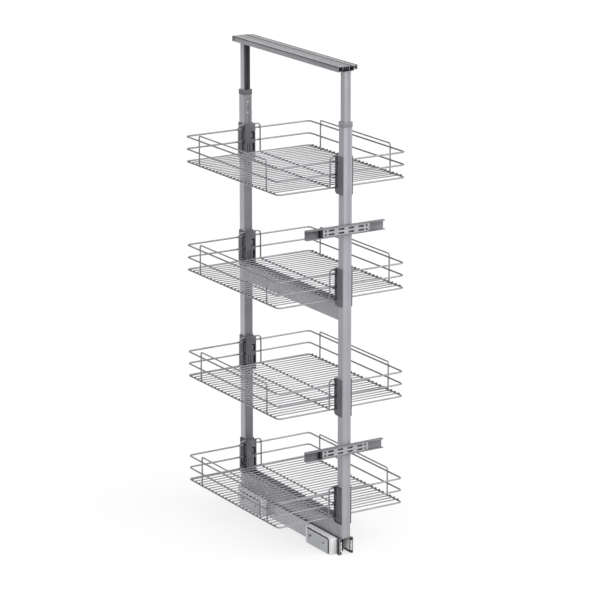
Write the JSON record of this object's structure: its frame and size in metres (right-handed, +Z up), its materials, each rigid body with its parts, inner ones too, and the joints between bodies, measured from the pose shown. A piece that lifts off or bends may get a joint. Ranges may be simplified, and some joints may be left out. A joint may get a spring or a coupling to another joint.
{
  "type": "pull-out larder unit",
  "caption": "Tall kitchen larder pull-out: telescopic steel frame on a ball-bearing floor runner, guided by a top rail, with wire baskets and door brackets.",
  "frame": {"origin": "on the cabinet floor, at the centre of the floor runner's four screw holes", "axes": "+Z up; the unit pulls out towards -Y, where the door is; +X to the right seen from the front"},
  "size_m": [0.3916, 0.5457, 1.3086],
  "materials": {
    "satin_silver": "satin silver-grey powder coat on steel",
    "bright_wire": "bright chrome-plated steel wire",
    "zinc_steel": "bright zinc-plated steel sheet",
    "anodised": "satin anodised aluminium extrusion",
    "grey_plastic": "fine matte moulded grey nylon",
    "black_plastic": "matte moulded black acetal",
    "white_plastic": "smooth moulded white plastic",
    "black_rubber": "matte black rubber",
    "screw_steel": "zinc-plated screw steel"
  },
  "bodies": {
    "base": {"floor_runner": "zinc_steel", "runner_stops": "black_plastic", "bracket_body_front": "white_plastic", "bracket_body_back": "white_plastic", "bracket_gasket_front": "black_rubber", "bracket_gasket_back": "black_rubber", "bracket_plate_front": "zinc_steel", "bracket_plate_back": "zinc_steel", "bracket_screws": "screw_steel"},
    "outer_cages": {"cage_outer": "black_plastic"},
    "middle_rails": {"runner_mids": "zinc_steel"},
    "inner_cages": {"cage_inner": "black_plastic"},
    "frame": {"runner_carriage": "zinc_steel", "crossbar_lower": "satin_silver", "crossbar_upper": "satin_silver", "upright_outer_front": "satin_silver", "upright_outer_back": "satin_silver", "collar_front": "grey_plastic", "collar_back": "grey_plastic", "locking_screws": "screw_steel", "door_rail_upper": "zinc_steel", "door_rail_lower": "zinc_steel", "door_rail_screws": "screw_steel", "holder_front_1": "grey_plastic", "holder_front_2": "grey_plastic", "holder_front_3": "grey_plastic", "holder_front_4": "grey_plastic", "holder_back_1": "grey_plastic", "holder_back_2": "grey_plastic", "holder_back_3": "grey_plastic", "holder_back_4": "grey_plastic"},
    "upper_frame": {"upright_inner_front": "satin_silver", "upright_inner_back": "satin_silver", "top_bar": "zinc_steel", "roller_axles": "black_plastic"},
    "front_roller": {"guide_roller_front": "black_plastic"},
    "back_roller": {"guide_roller_back": "black_plastic"},
    "top_rail": {"top_rail": "anodised", "top_rail_end_cap": "grey_plastic"},
    "upper_door_plate": {"door_plate_upper": "zinc_steel", "door_stop_upper": "black_plastic"},
    "lower_door_plate": {"door_plate_lower": "zinc_steel", "door_stop_lower": "black_plastic"},
    "basket_1": {"basket_1_rails": "bright_wire", "basket_1_floor": "bright_wire", "basket_1_side_bars": "bright_wire", "basket_1_hoops": "bright_wire"},
    "basket_2": {"basket_2_rails": "bright_wire", "basket_2_floor": "bright_wire", "basket_2_side_bars": "bright_wire", "basket_2_hoops": "bright_wire"},
    "basket_3": {"basket_3_rails": "bright_wire", "basket_3_floor": "bright_wire", "basket_3_side_bars": "bright_wire", "basket_3_hoops": "bright_wire"},
    "basket_4": {"basket_4_rails": "bright_wire", "basket_4_floor": "bright_wire", "basket_4_side_bars": "bright_wire", "basket_4_hoops": "bright_wire"}
  },
  "joints": [
    {"name": "pull_out", "type": "slide", "parent": "base", "child": "frame", "axis": [0, -1, 0], "range_m": [0, 0.46]},
    {"name": "outer_cage_roll", "type": "slide", "parent": "base", "child": "outer_cages", "axis": [0, -1, 0], "range_m": [0, 0.115]},
    {"name": "middle_rail_slide", "type": "slide", "parent": "base", "child": "middle_rails", "axis": [0, -1, 0], "range_m": [0, 0.23]},
    {"name": "inner_cage_roll", "type": "slide", "parent": "base", "child": "inner_cages", "axis": [0, -1, 0], "range_m": [0, 0.345]},
    {"name": "height_adjust", "type": "slide", "parent": "frame", "child": "upper_frame", "axis": [0, 0, 1], "range_m": [-0.1, 0.27]},
    {"name": "top_rail_height", "type": "slide", "parent": "base", "child": "top_rail", "axis": [0, 0, 1], "range_m": [-0.1, 0.27]},
    {"name": "front_roller_spin", "type": "hinge", "parent": "upper_frame", "child": "front_roller", "pos_m": [0, -0.24425, 1.3009], "axis": [0, 0, 1], "continuous": true},
    {"name": "back_roller_spin", "type": "hinge", "parent": "upper_frame", "child": "back_roller", "pos_m": [0, 0.24425, 1.3009], "axis": [0, 0, 1], "continuous": true},
    {"name": "upper_door_adjust", "type": "slide", "parent": "frame", "child": "upper_door_plate", "axis": [1, 0, 0], "range_m": [-0.025, 0.025]},
    {"name": "lower_door_adjust", "type": "slide", "parent": "frame", "child": "lower_door_plate", "axis": [1, 0, 0], "range_m": [-0.025, 0.025]},
    {"name": "basket_1_lift", "type": "slide", "parent": "frame", "child": "basket_1", "axis": [0, 0, 1], "range_m": [0, 0.08]},
    {"name": "basket_2_lift", "type": "slide", "parent": "frame", "child": "basket_2", "axis": [0, 0, 1], "range_m": [0, 0.08]},
    {"name": "basket_3_lift", "type": "slide", "parent": "frame", "child": "basket_3", "axis": [0, 0, 1], "range_m": [0, 0.08]},
    {"name": "basket_4_lift", "type": "slide", "parent": "frame", "child": "basket_4", "axis": [0, 0, 1], "range_m": [0, 0.08]}
  ],
  "couplings": [
    {"joint": "outer_cage_roll", "follows": "pull_out", "ratio": 0.25},
    {"joint": "middle_rail_slide", "follows": "pull_out", "ratio": 0.5},
    {"joint": "inner_cage_roll", "follows": "pull_out", "ratio": 0.75},
    {"joint": "top_rail_height", "follows": "height_adjust", "ratio": 1}
  ]
}
